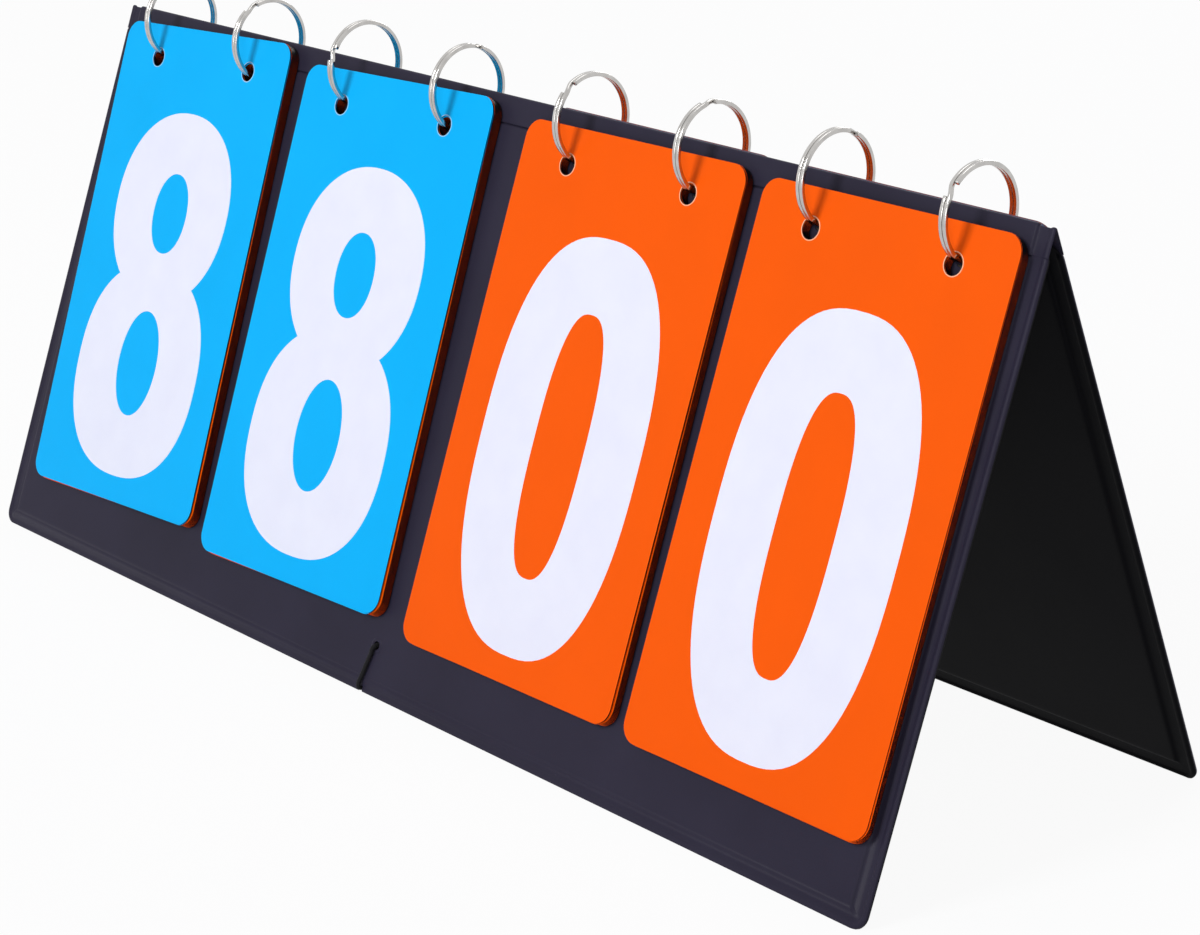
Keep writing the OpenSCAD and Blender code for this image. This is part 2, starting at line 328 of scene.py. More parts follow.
class Side(Enum):
    """The two panels of the tent."""

    FRONT = -1
    REAR = 1

    @property
    def body(self) -> str:
        """The body that carries this panel."""
        return "front_panel" if self is Side.FRONT else "rear_panel"

    @property
    def word(self) -> str:
        """The word that this side's pieces are named by."""
        return self.name.lower()

    @property
    def outward(self) -> tuple[float, float, float]:
        """The direction that this panel's outer face looks in."""
        return (0.0, self.value * math.cos(SIZES.lean), math.sin(SIZES.lean))

    def at(self, x: float, down: float, height: float) -> Vector:
        """Return a place on this panel in metres.

        Args:
            x: Millimetres along the ridge.
            down: Millimetres from the ridge down the panel.
            height: Millimetres over the panel's outer face.

        Returns:
            The place in the frame of the whole object.
        """
        sine, cosine = math.sin(SIZES.lean), math.cos(SIZES.lean)
        out = down * sine + height * cosine
        return Vector((x, self.value * out, SIZES.ridge_z - down * cosine + height * sine)) * MM


@dataclass(frozen=True)
class CardPlace:
    """Where one card lies: its side, its stack, its height and its turn."""

    side: Side
    stack: int
    height: float
    skew: float = 0.0

    @property
    def hang(self) -> float:
        """Distance from the ridge down to the middle of the holes."""
        return SIZES.hang(self.height, self.skew) if self.side is Side.FRONT else SIZES.rear_hang

    def at(self, across: float, up: float, lift: float) -> Vector:
        """Return a place on the card in metres.

        Args:
            across: Millimetres to the right of the card's middle, as its reader sees it.
            up: Millimetres above the holes' middle.
            lift: Millimetres over the card's panel side.

        Returns:
            The place in the frame of the whole object.
        """
        turn = math.radians(self.skew)
        run = across * math.cos(turn) - up * math.sin(turn)
        rise = across * math.sin(turn) + up * math.cos(turn)
        x = SIZES.stack_x[self.stack] - self.side.value * run
        return self.side.at(x, self.hang - rise, self.height + lift)


@dataclass(frozen=True)
class Wire:
    """One output of a shader node, on which sums can be written."""

    graph: "Graph"
    socket: bpy.types.NodeSocket

    def _sum(self, operation: str, first: "Wire | float", second: "Wire | float") -> "Wire":
        """Add a Math node and return its output."""
        made = self.graph.node("ShaderNodeMath", {"operation": operation}, {0: first, 1: second})
        return Wire(self.graph, made.outputs[0])

    def __add__(self, other: "Wire | float") -> "Wire":
        """Return self + other."""
        return self._sum("ADD", self, other)

    __radd__ = __add__

    def __sub__(self, other: "Wire | float") -> "Wire":
        """Return self - other."""
        return self._sum("SUBTRACT", self, other)

    def __rsub__(self, other: "Wire | float") -> "Wire":
        """Return other - self."""
        return self._sum("SUBTRACT", other, self)

    def __mul__(self, other: "Wire | float") -> "Wire":
        """Return self * other."""
        return self._sum("MULTIPLY", self, other)

    __rmul__ = __mul__

    def __abs__(self) -> "Wire":
        """Return the size of self without its sign."""
        return self._sum("ABSOLUTE", self, 0.0)

    def clamped(self) -> "Wire":
        """Return self held between 0 and 1."""
        return self._sum("MINIMUM", self._sum("MAXIMUM", self, 0.0), 1.0)


Value = Wire | float | Sequence[float]


class Graph:
    """The node graph of one material, or of the world."""

    def __init__(self, name: str, makers: bpy.types.bpy_prop_collection | None = None) -> None:
        """Start an empty graph.

        Args:
            name: The material's or the world's name.
            makers: bpy.data.worlds for the world, or nothing for a material.
        """
        self.owner = (bpy.data.materials if makers is None else makers).new(name)
        self.owner.use_nodes = True
        self.tree = self.owner.node_tree
        self.tree.nodes.clear()

    def node(
        self, kind: str, settings: Mapping[str, object], sockets: Mapping[object, Value]
    ) -> bpy.types.Node:
        """Add a node.

        Args:
            kind: The node's type.
            settings: Its settings.
            sockets: The values or links of its inputs.

        Returns:
            The new node.
        """
        made = self.tree.nodes.new(kind)
        for key, value in settings.items():
            setattr(made, key, value)
        for key, value in sockets.items():
            if isinstance(value, Wire):
                self.tree.links.new(value.socket, made.inputs[key])
            else:
                made.inputs[key].default_value = value
        return made

    def wire(self, node: bpy.types.Node, output: object = 0) -> Wire:
        """Return one output of a node."""
        return Wire(self, node.outputs[output])

    def place(self, output: str = "Object") -> Wire:
        """Return the place, or the normal, on the piece in its own frame."""
        return self.wire(self.node("ShaderNodeTexCoord", {}, {}), output)

    def noise(self, scale: float, detail: float = 2.0, stretch: Sequence[float] = (1, 1, 1)) -> Wire:
        """Return noise from 0 to 1.

        Args:
            scale: Bumps per metre.
            detail: Octaves of finer noise.
            stretch: Factors along the three axes.

        Returns:
            The noise.
        """
        where = self.node("ShaderNodeMapping", {}, {"Vector": self.place(), "Scale": stretch})
        sockets = {"Vector": self.wire(where), "Scale": scale, "Detail": detail}
        made = self.node("ShaderNodeTexNoise", {}, sockets)
        return self.wire(made, "Fac")

    def mix(self, share: Value, first: Value, second: Value) -> Wire:
        """Return one colour blended into another."""
        made = self.node("ShaderNodeMix", {"data_type": "RGBA"}, {0: share, 6: first, 7: second})
        return self.wire(made, 2)

    def bump(self, height: Wire, distance: float) -> Wire:
        """Return the normal that a height gives.

        Args:
            height: The height from 0 to 1.
            distance: Its full depth in metres.

        Returns:
            The bent normal.
        """
        sockets = {"Height": height, "Distance": distance, "Strength": 1.0}
        return self.wire(self.node("ShaderNodeBump", {}, sockets), "Normal")

    def finish(self, sockets: Mapping[object, Value]) -> bpy.types.Material:
        """Close the graph with one surface shader and return the material."""
        shader = self.node("ShaderNodeBsdfPrincipled", {}, sockets)
        self.node("ShaderNodeOutputMaterial", {}, {"Surface": self.wire(shader)})
        return self.owner

    def background_share(self) -> Wire:
        """Return 1 for the rays that show the white background, and 0 for those that light the object."""
        path = self.node("ShaderNodeLightPath", {}, {})
        words = ("Camera", "Glossy", "Transmission")
        camera, glossy, through = (self.wire(path, f"Is {word} Ray") for word in words)
        return (camera + glossy + through).clamped()


@dataclass(frozen=True)
class VinylFinish:
    """Black vinyl sheet with a fine grain and a soft shine."""

    name: str = "black_vinyl"
    dark: Colour = srgb(36, 33, 47)
    light: Colour = srgb(50, 47, 64)
    rough: float = 0.42
    shine: float = 0.08
    grain: float = 2300.0

    def build(self) -> bpy.types.Material:
        """Return the material."""
        graph = Graph(self.name)
        clouds = graph.noise(28.0, 3.0)
        grain = graph.noise(self.grain, 2.0)
        waves = graph.noise(45.0, 1.0)
        normal = graph.bump(grain * 0.75 + waves * 2.6, 0.00003)
        return graph.finish({
            "Base Color": graph.mix(clouds, self.dark, self.light),
            "Roughness": self.rough - 0.07 + 0.1 * clouds + 0.06 * grain,
            "Specular IOR Level": self.shine,
            "Normal": normal,
        })


@dataclass(frozen=True)
class CardFinish:
    """Printed plastic sheet whose cut edges show as layers; the edge and gap colours carry painted shade on the front
    cards and painted light on the rear cards.
    """

    name: str
    face: Colour
    # The cut-edge colour: dark as painted shade on the front side, pale as painted light on the rear side.
    edge: Colour
    gap: Colour
    outward: tuple[float, float, float]
    rough: float = 0.34
    layers: float = 3000.0

    def build(self) -> bpy.types.Material:
        """Return the material."""
        graph = Graph(self.name)
        facing = self._along(graph, "Normal")
        on_face = ((abs(facing) - 0.6) * 8.0).clamped()
        clouds = graph.noise(40.0, 3.0)
        specks = graph.noise(2600.0, 2.0)
        shade = tuple(0.86 * part for part in self.face[:3]) + (1.0,)
        face = graph.mix(clouds * 0.55, self.face, shade)
        depth = graph.node("ShaderNodeTexNoise", {"noise_dimensions": "1D"},
                           {"W": self._along(graph, "Object"), "Scale": self.layers, "Detail": 1.0})
        layer = ((graph.wire(depth, "Fac") - 0.42) * 3.5).clamped()
        # Layers of the cut edge, between the gap and edge colours, which carry painted light and shade.
        edge = graph.mix(layer, self.gap, self.edge)
        return graph.finish({
            "Base Color": graph.mix(on_face, edge, face),
            "Roughness": self.rough + 0.12 * clouds,
            "Specular IOR Level": 0.09,
            "Normal": graph.bump(specks + clouds * 1.5, 0.000012),
        })

    def _along(self, graph: Graph, output: str) -> Wire:
        """Return how far a place or a normal reaches along the card's outward direction."""
        made = graph.node("ShaderNodeVectorMath", {"operation": "DOT_PRODUCT"},
                          {0: graph.place(output), 1: self.outward})
        return graph.wire(made, "Value")


@dataclass(frozen=True)
class InkFinish:
    """Pale matt plastic: the ink of the digits, and the pale rim round a punched hole, whose colour is a painted
    highlight.
    """

    name: str = "pale_ink"
    pale: Colour = srgb(240, 242, 255)
    shade: Colour = srgb(230, 232, 250)

    def build(self) -> bpy.types.Material:
        """Return the material."""
        graph = Graph(self.name)
        clouds = graph.noise(90.0, 4.0)
        pores = graph.noise(3200.0, 2.0)
        return graph.finish({
            "Base Color": graph.mix(clouds, self.pale, self.shade),
            "Roughness": 0.45 + 0.12 * pores,
            "Specular IOR Level": 0.3,
            "Normal": graph.bump(pores, 0.000008),
        })


@dataclass(frozen=True)
class MetalFinish:
    """Bright nickel plate with fine drawn lines."""

    name: str = "nickel_plate"
    bright: Colour = srgb(206, 204, 201)
    dull: Colour = srgb(152, 149, 147)

    def build(self) -> bpy.types.Material:
        """Return the material."""
        graph = Graph(self.name)
        stains = graph.noise(420.0, 3.0)
        lines = graph.noise(5200.0, 2.0, (1.0, 0.12, 0.12))
        return graph.finish({
            "Base Color": graph.mix(stains * 0.7, self.bright, self.dull),
            "Metallic": 1.0,
            "Roughness": 0.1 + 0.14 * stains,
            "Normal": graph.bump(lines, 0.00001),
        })


@dataclass(frozen=True)
class BoardFinish:
    """Grey paper board with short fibres."""

    name: str = "grey_board"
    pale: Colour = srgb(158, 150, 138)
    dark: Colour = srgb(122, 115, 104)

    def build(self) -> bpy.types.Material:
        """Return the material."""
        graph = Graph(self.name)
        fibres = graph.noise(1500.0, 5.0, (1.0, 3.0, 3.0))
        return graph.finish({
            "Base Color": graph.mix(fibres, self.dark, self.pale),
            "Roughness": 0.78 + 0.15 * fibres,
            "Normal": graph.bump(fibres, 0.00005),
        })


@dataclass(frozen=True)
class CordFinish:
    """Fine black braided cord."""

    name: str = "black_cord"
    dark: Colour = srgb(8, 8, 10)
    light: Colour = srgb(20, 19, 23)

    def build(self) -> bpy.types.Material:
        """Return the material."""
        graph = Graph(self.name)
        threads = graph.noise(6000.0, 2.0)
        return graph.finish({
            "Base Color": graph.mix(threads, self.dark, self.light),
            "Roughness": 0.68 + 0.2 * threads,
            "Sheen Weight": 0.03,
            "Specular IOR Level": 0.2,
            "Normal": graph.bump(threads, 0.00006),
        })


@dataclass
class Finishes:
    """Every material of the scoreboard."""

    vinyl: bpy.types.Material = field(default_factory=lambda: VinylFinish().build())
    # A darker copy of the black vinyl for the panels' inner skins: painted shade for the tent's shadowed inside.
    lining: bpy.types.Material = field(default_factory=lambda: VinylFinish(
        "black_lining", srgb(9, 9, 12), srgb(14, 14, 17), 0.5, 0.03).build())
    ink: bpy.types.Material = field(default_factory=lambda: InkFinish().build())
    metal: bpy.types.Material = field(default_factory=lambda: MetalFinish().build())
    board: bpy.types.Material = field(default_factory=lambda: BoardFinish().build())
    cord: bpy.types.Material = field(default_factory=lambda: CordFinish().build())
    cards: dict[tuple[Side, str], bpy.types.Material] = field(default_factory=dict)
    # Pale rim colours round the punched holes: a painted highlight.
    rims: dict[str, bpy.types.Material] = field(default_factory=lambda: {
        "blue": InkFinish("pale_blue_rim", srgb(170, 214, 246), srgb(132, 196, 240)).build(),
        "orange": InkFinish("pale_orange_rim", srgb(255, 196, 160), srgb(250, 164, 120)).build(),
    })

    FACES = {"blue": srgb(2, 184, 255), "orange": srgb(255, 94, 0)}
    # Cut-edge colours by side: the dark front ones are painted shade, and the pale rear ones are painted light from
    # above.
    EDGES = {
        (Side.FRONT, "blue"): srgb(11, 24, 42), (Side.FRONT, "orange"): srgb(20, 13, 16),
        (Side.REAR, "blue"): srgb(120, 176, 232), (Side.REAR, "orange"): srgb(200, 84, 48),
    }
    # Colours between an edge's layers: the near-black front one is painted shade, and the lighter rear one is painted
    # light.
    GAPS = {Side.FRONT: srgb(8, 8, 11), Side.REAR: srgb(70, 72, 92)}

    def card(self, side: Side, tint: str) -> bpy.types.Material:
        """Return the material of a card.

        Args:
            side: The side that it hangs on at rest, which picks edges with painted shade (front) or painted light
                (rear).
            tint: "blue" or "orange".

        Returns:
            The material, made once.
        """
        key = (side, tint)
        if key not in self.cards:
            name, face = f"{tint}_card_{side.word}", self.FACES[tint]
            finish = CardFinish(name, face, self.EDGES[key], self.GAPS[side], side.outward)
            self.cards[key] = finish.build()
        return self.cards[key]


def make_piece(
    name: str,
    points: Iterable[Vector],
    faces: Iterable[Sequence[int]],
    material: bpy.types.Material,
    sharp: float = 35.0,
) -> bpy.types.Object:
    """Make an object from points and faces.

    Args:
        name: The piece's name.
        points: Its corners in metres.
        faces: The corners of each face.
        material: Its material.
        sharp: Edges that turn by more degrees than this look sharp.

    Returns:
        The new object, at the origin.
    """
    mesh = bpy.data.meshes.new(name)
    mesh.from_pydata([tuple(point) for point in points], [], [tuple(face) for face in faces])
    made = bpy.data.objects.new(name, mesh)
    bpy.context.scene.collection.objects.link(made)
    mesh.materials.append(material)
    smooth_by_angle(mesh, sharp)
    return made


def smooth_by_angle(mesh: bpy.types.Mesh, sharp: float) -> None:
    """Shade a mesh smooth except at its sharp edges.

    Args:
        mesh: The mesh to shade.
        sharp: Edges that turn by more degrees than this look sharp.
    """
    work = bmesh.new()
    work.from_mesh(mesh)
    bmesh.ops.recalc_face_normals(work, faces=work.faces)
    for face in work.faces:
        face.smooth = True
    for edge in work.edges:
        edge.smooth = len(edge.link_faces) == 2 and edge.calc_face_angle(math.pi) < math.radians(sharp)
    work.to_mesh(mesh)
    work.free()


def turns(count: int) -> list[float]:
    """Return even turns round a circle, in radians."""
    return [2 * math.pi * step / count for step in range(count)]


def rounded_box(
    half: float, top: float, end: float, radius: float, steps: int = CORNER_STEPS
) -> list[Point2]:
    """Return the outline of a rounded rectangle.

    Args:
        half: Half of its width.
        top: Where it starts, down the panel.
        end: Where it ends, down the panel.
        radius: Its corner radius.
        steps: Faces in each corner.

    Returns:
        Its corners as x and distance down the panel.
    """
    outline = []
    for corner_x, corner_y, start in ((1, 1, 0), (-1, 1, 90), (-1, -1, 180), (1, -1, 270)):
        middle_x = corner_x * (half - radius)
        middle_y = end - radius if corner_y > 0 else top + radius
        for step in range(steps + 1):
            turn = math.radians(start + 90 * step / steps)
            outline.append((middle_x + radius * math.cos(turn), middle_y + radius * math.sin(turn)))
    return outline


def sweep_rings(
    rings: Sequence[Sequence[Vector]], closed: bool
) -> tuple[list[Vector], list[tuple[int, ...]]]:
    """Join rings of points into a skin.

    Args:
        rings: Rings with the same number of points.
        closed: Whether the last ring joins the first.

    Returns:
        The points and faces, with end caps if it isn't closed.
    """
    size, count = len(rings[0]), len(rings)
    points = [point for ring in rings for point in ring]
    faces: list[tuple[int, ...]] = []
    for row in range(count if closed else count - 1):
        low, high = row * size, (row + 1) % count * size
        for column in range(size):
            beside = (column + 1) % size
            faces.append((low + column, low + beside, high + beside, high + column))
    if not closed:
        faces.append(tuple(reversed(range(size))))
        faces.append(tuple(range((count - 1) * size, count * size)))
    return points, faces


class Shell:
    """The points and faces of a piece that is made of several skins."""

    def __init__(self) -> None:
        """Start with nothing."""
        self.points: list[Vector] = []
        self.faces: list[tuple[int, ...]] = []

    def add(self, rings: Sequence[Sequence[Vector]], closed: bool) -> None:
        """Add one skin over rings of points."""
        points, faces = sweep_rings(rings, closed)
        self.faces.extend(tuple(index + len(self.points) for index in face) for face in faces)
        self.points.extend(points)


def hoop(place: Place, radius: float, profile: Iterable[Point2], steps: int) -> list[list[Vector]]:
    """Return the rings of a round hoop.

    Args:
        place: Turns a flat place and a lift into a place in metres.
        radius: The hoop's inner radius.
        profile: Its outline, as distance from that radius and lift.
        steps: Faces round it.

    Returns:
        Its rings.
    """
    outline = list(profile)
    return [[place((radius + wide) * math.cos(turn), (radius + wide) * math.sin(turn), lift)
             for wide, lift in outline] for turn in turns(steps)]


@dataclass
class PanelSkins:
    """The two welded vinyl skins of one panel."""

    side: Side
    vinyl: bpy.types.Material
    lining: bpy.types.Material
    sizes: Sizes = SIZES
    outer_profile: tuple[Point2, ...] = (
        (0.0, 0.0), (0.03, 0.3), (0.16, 0.56), (0.42, 0.71), (0.8, 0.75), (1.15, 0.71), (1.42, 0.58),
        (1.62, 0.44), (1.9, 0.4), (2.6, 0.4), (3.4, 0.4), (4.3, 0.4), (4.75, 0.46), (4.98, 0.62),
        (5.14, 0.84), (5.38, 1.0), (5.75, 1.08), (6.3, 1.1), (7.2, 1.1), (9.0, 1.1),
    )
    soft_start: float = 1.3
    soft_end: float = 3.0
    soft_height: float = 0.68
    inner_profile: tuple[Point2, ...] = (
        (9.0, 0.7), (6.0, 0.7), (5.5, 0.62), (5.3, 0.4), (5.2, 0.0), (2.6, 0.0),
    )
    eyelet_profile: tuple[Point2, ...] = (
        (0.0, -0.55), (0.0, 0.02), (0.16, 0.17), (0.42, 0.22), (0.75, 0.14), (1.1, 0.02), (1.1, -0.12),
    )
    eyelet_steps: int = 36
    bore_steps: int = 40
    bore_reach: Point2 = (-4.0, 2.0)
    notch_reach: Point2 = (50.0, 70.0)
    sharp: float = 42.0
    least_corner: float = 0.6
    strip_margin: float = 1.0
    strip_flanges: float = 1.3

    def build(self) -> list[bpy.types.Object]:
        """Build and dress both skins of the panel."""
        made = []
        for word, sign in (("outer", 1.0), ("inner", -1.0)):
            node = f"{self.side.word}_{word}_skin"
            # The inner skin takes the darker copy of the vinyl, which is painted shade.
            finish = self.vinyl if sign > 0 else self.lining
            piece = self._skin(f"{self.side.word}_{word}_sheet", sign, finish)
            self._cut(piece)
            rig.ride(piece, self.side.body)
            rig.replaces(piece, node)
            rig.slot(piece, "black_vinyl")
            made.append(piece)
        made.append(self._eyelet())
        return made

    def _eyelet(self) -> bpy.types.Object:
        """Return the melted lips round both ends of the tether hole."""
        size, shell = self.sizes, Shell()
        for face_height, out in ((0.0, 1.0), (-size.panel_t, -1.0)):
            def place(x: float, y: float, lift: float) -> Vector:
                """Return a place round the tether hole."""
                return self.side.at(x, size.tether_drop + y, face_height + out * lift)

            shell.add(hoop(place, size.eye_d / 2, self.eyelet_profile, self.eyelet_steps), True)
        piece = make_piece(f"{self.side.word}_eyelet", shell.points, shell.faces, self.vinyl)
        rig.ride(piece, self.side.body)
        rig.slot(piece, "black_vinyl")
        return piece

    def _loop(self, inset: float, height: float, sign: float, shows: bool) -> list[Vector]:
        """Return one loop of the skin.

        Args:
            inset: Millimetres in from the panel's edge.
            height: Millimetres over the middle plane.
            sign: 1 for the outer skin and -1 for the inner one.
            shows: Whether the loop is on the face that is seen, which has a soft lower edge.

        Returns:
            The loop's points.
        """
        size = self.sizes
        wide_top = size.board_top - size.skin_t - size.skin_top
        if inset < size.flange_w:
            top_inset = inset * wide_top / size.flange_w
        else:
            top_inset = inset - size.flange_w + wide_top
        half, top, end = size.panel_w / 2 - inset, size.skin_top + top_inset, size.panel_h - inset
        outline = rounded_box(half, top, end, max(size.panel_r - inset, self.least_corner))
        ramp = min(max((inset - self.soft_start) / (self.soft_end - self.soft_start), 0.0), 1.0)
        soft = self.soft_height + (size.panel_t / 2 - self.soft_height) * ramp * ramp * (3 - 2 * ramp)
        softened = shows and inset > self.soft_start
        strip_end = size.board_top + self.strip_margin
        strip_side = size.panel_w / 2 - self.strip_flanges * size.flange_w
        loop = []
        for index, (x, down) in enumerate(outline):
            corner, step = divmod(index, CORNER_STEPS + 1)
            along = step / CORNER_STEPS
            lower = (along, 1 - along, 0.0, 0.0)[corner] if softened else 0.0
            held = height + (soft - height) * lower
            if down < size.spine_end:
                held = min(held, size.skin_t)
            elif shows and down < strip_end and abs(x) < strip_side:
                held = size.panel_t / 2
            point = self.side.at(x, down, size.mid + sign * held)
            point.z = max(point.z, 0.0)
            loop.append(point)
        return loop

    def _skin(self, name: str, sign: float, finish: bpy.types.Material) -> bpy.types.Object:
        """Return one skin before its holes are cut.

        Args:
            name: The piece's name.
            sign: 1 for the outer skin and -1 for the inner one.
            finish: Its material.

        Returns:
            The new object.
        """
        rings = [self._loop(inset, height, sign, sign > 0) for inset, height in self.outer_profile]
        rings += [self._loop(inset, height, sign, False) for inset, height in self.inner_profile]
        size = len(rings[0])
        points, faces = sweep_rings(rings, True)
        last_outer = len(self.outer_profile) - 1
        seam = range(last_outer * size, (last_outer + 1) * size)
        faces = [face for face in faces if not (face[0] in seam and face[3] not in seam)]
        faces.append(tuple(seam))
        faces.append(tuple(reversed(range((last_outer + 1) * size, (last_outer + 2) * size))))
        return make_piece(name, points, faces, finish, self.sharp)

    def _cut(self, piece: bpy.types.Object) -> None:
        """Cut the ring holes, the tether hole and the tether notch.

        Args:
            piece: The skin to cut.
        """
        size, shell = self.sizes, Shell()

        def bore(x: float, down: float, radius: float) -> None:
            """Add the cutter of a round hole."""
            shell.add([[self.side.at(x + radius * math.cos(turn), down + radius * math.sin(turn), height)
                        for turn in turns(self.bore_steps)] for height in self.bore_reach], False)

        for x in size.stack_x:
            for half in (-0.5, 0.5):
                bore(x + half * size.hole_pitch, size.panel_hole, size.panel_hole_d / 2)
        bore(0.0, size.tether_drop, size.eye_d / 2)
        left, right = size.notch_x - size.notch_w / 2, size.notch_x + size.notch_w / 2
        near, far = (self.side.value * reach for reach in self.notch_reach)
        corners = ((near, -1.0), (far, -1.0), (far, size.notch_h), (near, size.notch_h))
        shell.add([[Vector((x, y, z)) * MM for y, z in corners] for x in (left, right)], False)
        cutter = make_piece("cutter", shell.points, shell.faces, self.vinyl)
        boolean = piece.modifiers.new("holes", "BOOLEAN")
        boolean.operation = "DIFFERENCE"
        boolean.solver = "EXACT"
        boolean.object = cutter
        graph = bpy.context.evaluated_depsgraph_get()
        cut = bpy.data.meshes.new_from_object(piece.evaluated_get(graph))
        piece.modifiers.clear()
        piece.data = cut
        bpy.data.objects.remove(cutter)
        smooth_by_angle(cut, self.sharp)


@dataclass
class Spine:
    """The soft vinyl fold over the ridge."""

    vinyl: bpy.types.Material
    sizes: Sizes = SIZES
    steps: int = 28
    ease: float = 0.04
    hem: tuple[Point2, ...] = ((0.0, 0.0), (0.0, 0.72), (0.03, 0.9), (0.1, 0.98), (0.4, 1.0))
    thin: float = 0.1
    bend: float = 1.5
    bend_height: float = 150.0

    def build(self) -> bpy.types.Object:
        """Build the fold and let it bend between the panels."""
        size = self.sizes
        sine = math.sin(size.lean)
        seat = size.mid + size.skin_t
        middle = (seat - size.spine_r) / sine

        def slope(down: float, height: float, mirror: float) -> tuple[float, float]:
            """Return a place on one side as y and z from the ridge."""
            cosine = math.cos(size.lean)
            return (mirror * (down * sine + height * cosine), -down * cosine + height * sine)

        def arc(radius: float, backwards: bool) -> list[tuple[float, float]]:
            """Return the fold's arc."""
            turns = [math.pi - size.lean - step * (math.pi - 2 * size.lean) / self.steps
                     for step in range(self.steps + 1)]
            places = [(radius * math.cos(turn), middle + radius * math.sin(turn)) for turn in turns]
            return places[::-1] if backwards else places

        def section(thick: float) -> list[tuple[float, float]]:
            """Return the fold's outline where it has a given thickness."""
            hem = [(size.spine_end - back, seat + share * thick) for back, share in self.hem]
            outline = [slope(down, height, -1.0) for down, height in hem]
            outline += arc(size.spine_r + thick, False)
            outline += [slope(down, height, 1.0) for down, height in reversed(hem)]
            return outline + arc(size.spine_r, True)

        half = size.panel_w / 2
        ends = [(inset, min(max(height - size.skin_t + self.thin, self.thin), size.spine_t - self.ease))
                for inset, height in PanelSkins.outer_profile[1:]]
        stations = [(inset - half, thick) for inset, thick in ends]
        stations += [(half - inset, thick) for inset, thick in reversed(ends)]
        rings = []
        for x, thick in stations:
            rings.append([Vector((x, y, size.ridge_z + z)) * MM for y, z in section(thick)])
        points, faces = sweep_rings(rings, False)
        piece = make_piece("spine_fold", points, faces, self.vinyl, 50.0)
        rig.replaces(piece, "spine_hinge")
        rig.slot(piece, "black_vinyl")
        bend, height = self.bend * MM, self.bend_height * MM
        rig.blend(piece, "front_panel", "rear_panel", start=(0, -bend, height), end=(0, bend, height))
        return piece


class Digit(Enum):
    """The digits that the cards need."""

    ZERO = 0
    ONE = 1
    EIGHT = 8
    NINE = 9


def oval(x: float, y: float, wide: float, high: float, power: float, count: int = 88) -> list[Point2]:
    """Return a squared oval.

    Args:
        x: Its middle, to the right of the card's middle.
        y: Its middle, down from the card's top edge.
        wide: Half of its width.
        high: Half of its height.
        power: 2 for a plain oval, and more for a squarer one.
        count: How many corners it has.

    Returns:
        Its corners.
    """
    def bent(value: float) -> float:
        """Return a cosine or sine, bent to the oval's power."""
        return math.copysign(abs(value) ** (2 / power), value)

    turns = [2 * math.pi * (step + 0.5) / count for step in range(count)]
    return [(x + wide * bent(math.cos(turn)), y + high * bent(math.sin(turn))) for turn in turns]


def inside(point: Point2, loop: Sequence[Point2]) -> bool:
    """Tell whether a point is inside a closed loop."""
    found = False
    for index, (x1, y1) in enumerate(loop):
        x2, y2 = loop[index - 1]
        if (y1 > point[1]) != (y2 > point[1]) and point[0] < (x2 - x1) * (point[1] - y1) / (y2 - y1) + x1:
            found = not found
    return found


@dataclass(frozen=True)
class DigitShape:
    """A digit, as loops that are added or cut one after another."""

    digit: Digit

    def loops(self) -> list[tuple[bool, list[Point2]]]:
        """Return the loops, each with whether it is added."""
        body = (True, oval(0.0, 81.4, 30.5, 55.4, 2.52))
        eye = (False, oval(0.0, 81.0, 9.8, 35.1, 2.6))
        if self.digit is Digit.ZERO:
            return [body, eye]
        if self.digit is Digit.EIGHT:
            return [
                (True, oval(0.0, 54.0, 28.7, 28.8, 2.16)),
                (True, oval(0.0, 104.0, 31.0, 32.4, 2.32)),
                (False, oval(0.0, 55.8, 8.45, 12.15, 2.1)),
                (False, oval(0.0, 101.8, 9.8, 16.0, 2.02)),
            ]
        if self.digit is Digit.NINE:
            return [
                body,
                eye,
                (False, [(-40.0, 84.0), (0.0, 84.0), (0.0, 104.5), (-40.0, 104.5)]),
                (True, oval(0.0, 59.5, 30.0, 33.6, 2.25)),
                (False, oval(0.0, 58.6, 9.6, 15.4, 2.1)),
            ]
        return [(True, [(-3.4, 26.5), (10.4, 26.5), (10.4, 136.8), (-10.4, 136.8), (-10.4, 55.2),
                        (-24.5, 61.8), (-24.5, 43.4), (-13.5, 37.2)])]

    def filled(self) -> tuple[list[Point2], list[tuple[int, ...]]]:
        """Return the digit as flat points and triangles."""
        points: list[Point2] = []
        edges: list[tuple[int, int]] = []
        loops = self.loops()
        for _, loop in loops:
            start = len(points)
            points += loop
            edges += [(start + index, start + (index + 1) % len(loop)) for index in range(len(loop))]
        made = delaunay_2d_cdt([Vector(point) for point in points], edges, [], 0, 1e-5)
        corners = [(corner.x, corner.y) for corner in made[0]]
        faces = []
        for face in made[2]:
            middle = (sum(corners[index][0] for index in face) / len(face),
                      sum(corners[index][1] for index in face) / len(face))
            kept = False
            for added, loop in loops:
                if inside(middle, loop):
                    kept = added
            if kept:
                faces.append(tuple(face))
        used = sorted({index for face in faces for index in face})
        place = {index: number for number, index in enumerate(used)}
        return [corners[index] for index in used], [tuple(place[index] for index in face) for face in faces]


